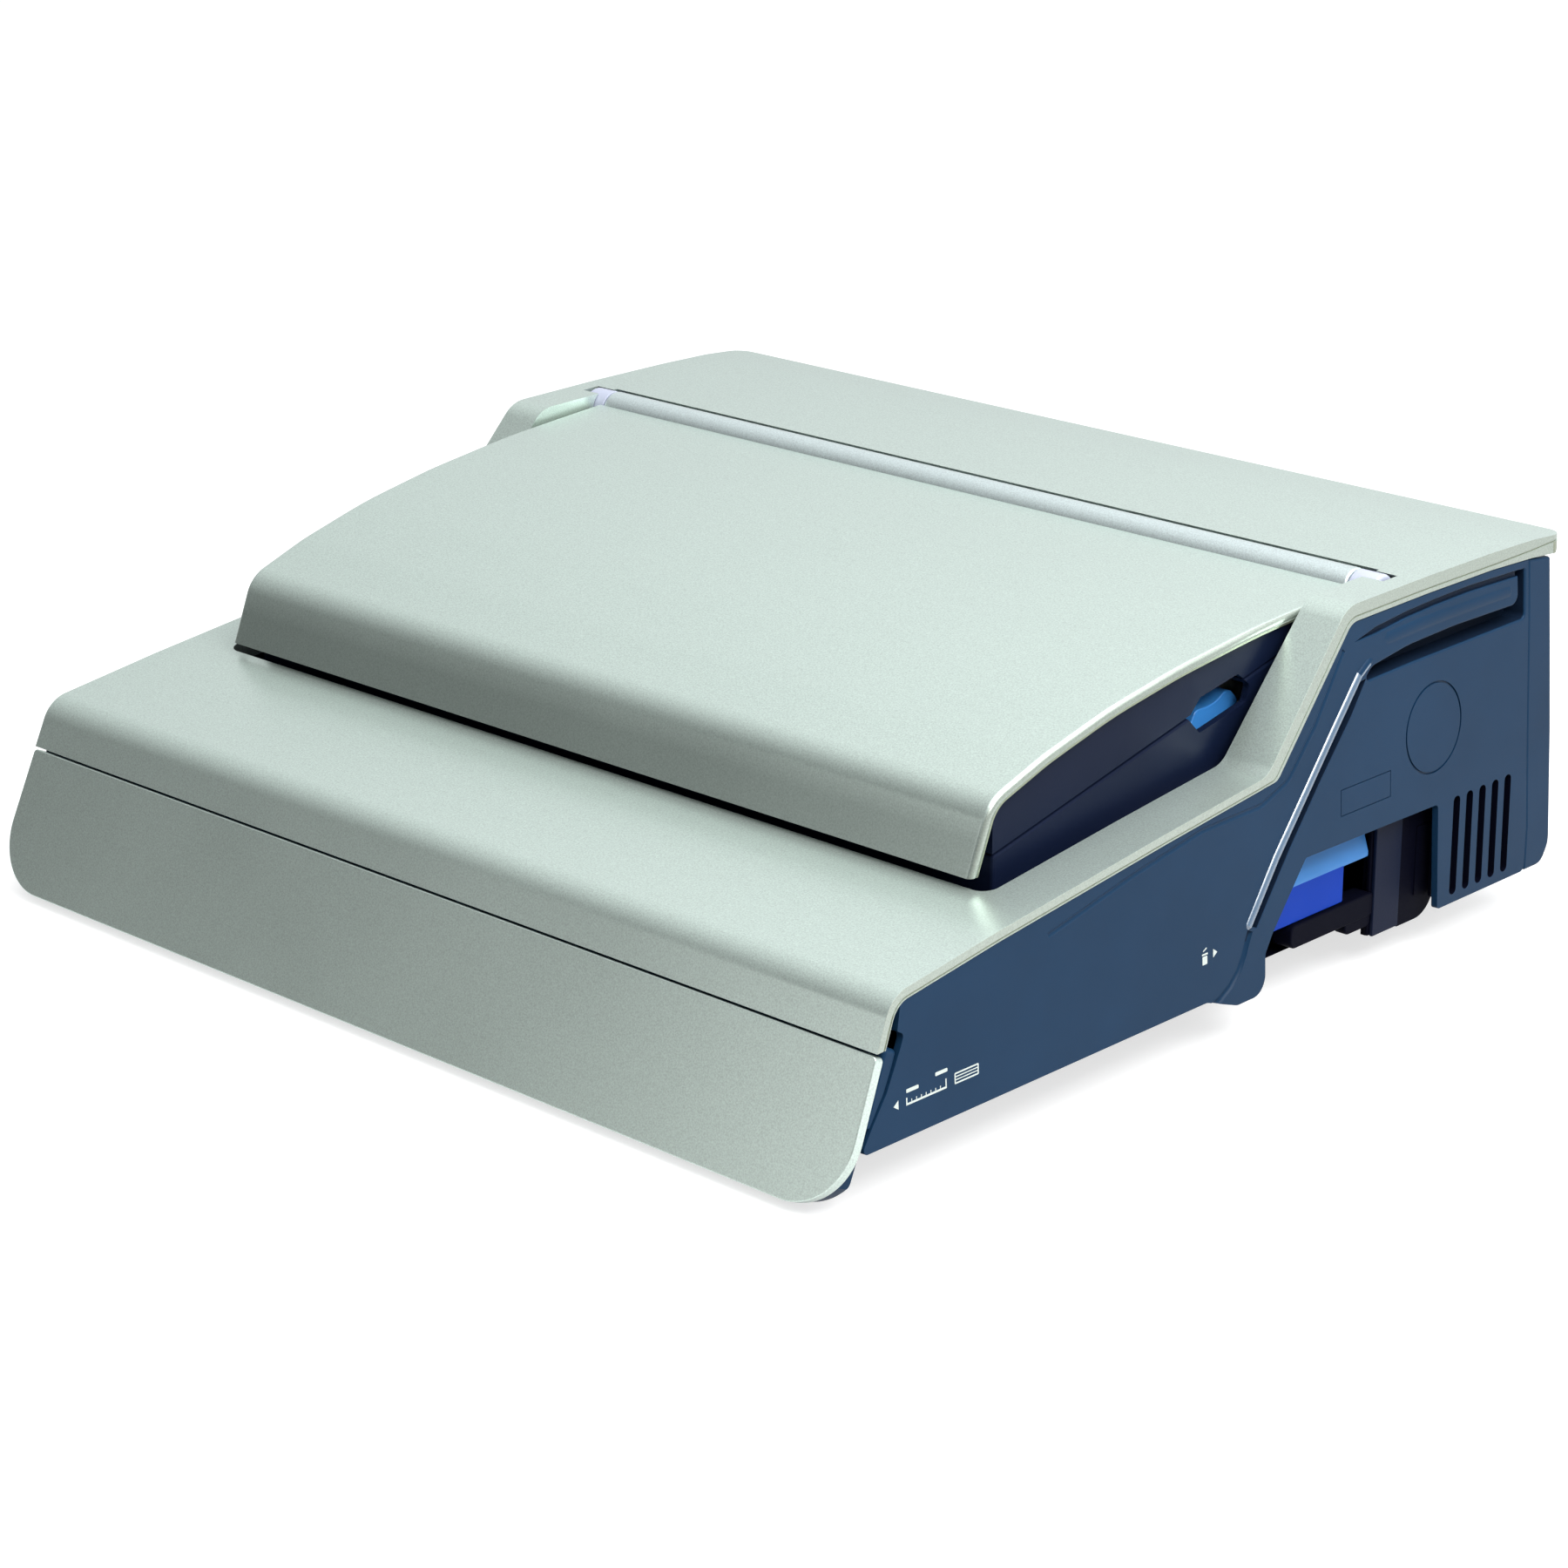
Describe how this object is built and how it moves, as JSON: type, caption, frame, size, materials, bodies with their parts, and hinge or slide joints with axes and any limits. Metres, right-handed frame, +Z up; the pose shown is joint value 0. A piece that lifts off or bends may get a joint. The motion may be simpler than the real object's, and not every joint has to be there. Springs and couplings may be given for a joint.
{
  "type": "wire binding machine",
  "caption": "Electric desktop wire binding machine: hinged lid over a punch throat and wire closer, front drawer, side waste drawer and hand grips.",
  "frame": {"origin": "on the table, at the centre of the bounding box's footprint", "axes": "+X to the machine's right along its width, +Y to its back, +Z up"},
  "size_m": [0.4976, 0.4589, 0.1659],
  "materials": {
    "silver": "silver paint with a fine metallic speckle",
    "slate": "dark slate-blue plastic, satin",
    "black": "black plastic, satin",
    "charcoal": "charcoal plastic, satin",
    "blue": "blue plastic, half gloss",
    "pale": "pale lavender-grey plastic, half gloss",
    "steel": "bright steel",
    "zinc": "zinc-plated steel, dull",
    "brass": "turned bronze bush",
    "rubber": "black rubber",
    "nylon": "off-white nylon",
    "board": "green circuit board with its components"
  },
  "bodies": {
    "casing": {"top_cover": "silver", "side_panel_left": "slate", "side_panel_right": "slate", "back_cover": "slate", "base_tray": "black", "foot_front_left": "rubber", "foot_front_right": "rubber", "foot_rear_left": "rubber", "foot_rear_right": "rubber", "hinge_pin_left": "steel", "hinge_pin_right": "steel", "hinge_cap_left": "pale", "hinge_cap_right": "pale", "work_body": "charcoal", "wire_comb": "charcoal", "closer_fixed_jaw": "zinc", "closer_hanger_left": "zinc", "closer_hanger_right": "zinc", "die_plate": "steel", "stripper_plate": "zinc", "paper_stop": "black", "side_frame_left": "zinc", "side_frame_right": "zinc", "cam_bush_left": "brass", "cam_bush_right": "brass", "drive_motor": "steel", "motor_bracket": "zinc", "drawer_rail_left": "nylon", "drawer_rail_right": "nylon", "waste_channel": "black", "waste_bay_liner": "black", "power_inlet": "black", "switch_frame": "black", "circuit_board": "board"},
    "lid": {"lid_shell": "silver", "lid_liner": "charcoal", "hinge_barrel": "silver"},
    "front_drawer": {"drawer_fascia": "silver", "drawer_front_frame": "slate", "drawer_tray": "black"},
    "waste_drawer": {"waste_bin": "blue"},
    "closer_lever": {"closer_lever": "blue", "closer_shaft": "steel", "closer_sector_left": "nylon", "closer_sector_right": "nylon"},
    "closer_jaw": {"closer_jaw": "steel", "closer_rack_left": "nylon", "closer_rack_right": "nylon"},
    "camshaft": {"cam_shaft": "steel", "cam_left": "steel", "cam_right": "steel", "drive_gear": "nylon"},
    "motor_pinion": {"motor_pinion": "steel"},
    "punch_ram": {"punch_ram": "zinc", "punch_pin_bar": "steel"},
    "punch_button": {"punch_button": "blue"},
    "power_rocker": {"power_rocker": "black"},
    "edge_guide": {"edge_guide": "blue"},
    "wire_size_dial": {"wire_size_dial": "black"}
  },
  "joints": [
    {"name": "lid_hinge", "type": "hinge", "parent": "casing", "child": "lid", "pos_m": [0, 0.1175, 0.1574], "axis": [-1, 0, 0], "range_deg": [0, 95]},
    {"name": "front_drawer_slide", "type": "slide", "parent": "casing", "child": "front_drawer", "axis": [0, -1, 0], "range_m": [0, 0.15]},
    {"name": "waste_drawer_slide", "type": "slide", "parent": "casing", "child": "waste_drawer", "axis": [1, 0, 0], "range_m": [0, 0.28]},
    {"name": "closer_lever_pivot", "type": "hinge", "parent": "casing", "child": "closer_lever", "pos_m": [0, 0.03071, 0.07642], "axis": [1, 0, 0], "range_deg": [0, 19.3]},
    {"name": "closer_jaw_slide", "type": "slide", "parent": "casing", "child": "closer_jaw", "axis": [0, -0.9724, -0.2334], "range_m": [0, 0.0119]},
    {"name": "camshaft_turn", "type": "hinge", "parent": "casing", "child": "camshaft", "pos_m": [0, 0.151, 0.12], "axis": [1, 0, 0], "range_deg": [0, 180]},
    {"name": "punch_ram_slide", "type": "slide", "parent": "casing", "child": "punch_ram", "axis": [0, -1, 0], "range_m": [0, 0.01401]},
    {"name": "motor_pinion_turn", "type": "hinge", "parent": "casing", "child": "motor_pinion", "pos_m": [0, 0.17559, 0.09937], "axis": [1, 0, 0], "range_deg": [-540.1, 0]},
    {"name": "punch_button_press", "type": "slide", "parent": "casing", "child": "punch_button", "axis": [0, 0, -1], "range_m": [0, 0.0022], "stiffness_N_per_m": 250, "springref_m": -0.003},
    {"name": "power_rocker_tilt", "type": "hinge", "parent": "casing", "child": "power_rocker", "pos_m": [0.12, 0.219, 0.0735], "axis": [1, 0, 0], "range_deg": [0, 12]},
    {"name": "edge_guide_slide", "type": "slide", "parent": "casing", "child": "edge_guide", "axis": [1, 0, 0], "range_m": [0, 0.01]},
    {"name": "wire_size_dial_turn", "type": "hinge", "parent": "casing", "child": "wire_size_dial", "pos_m": [-0.188, -0.03756, 0.1166], "axis": [0, -0.2334, 0.9724], "range_deg": [0, 270]}
  ],
  "couplings": [
    {"joint": "closer_jaw_slide", "follows": "closer_lever_pivot", "m_per_rad": 0.035},
    {"joint": "punch_ram_slide", "follows": "camshaft_turn", "m_per_rad": 0.0044563},
    {"joint": "motor_pinion_turn", "follows": "camshaft_turn", "ratio": -3}
  ]
}
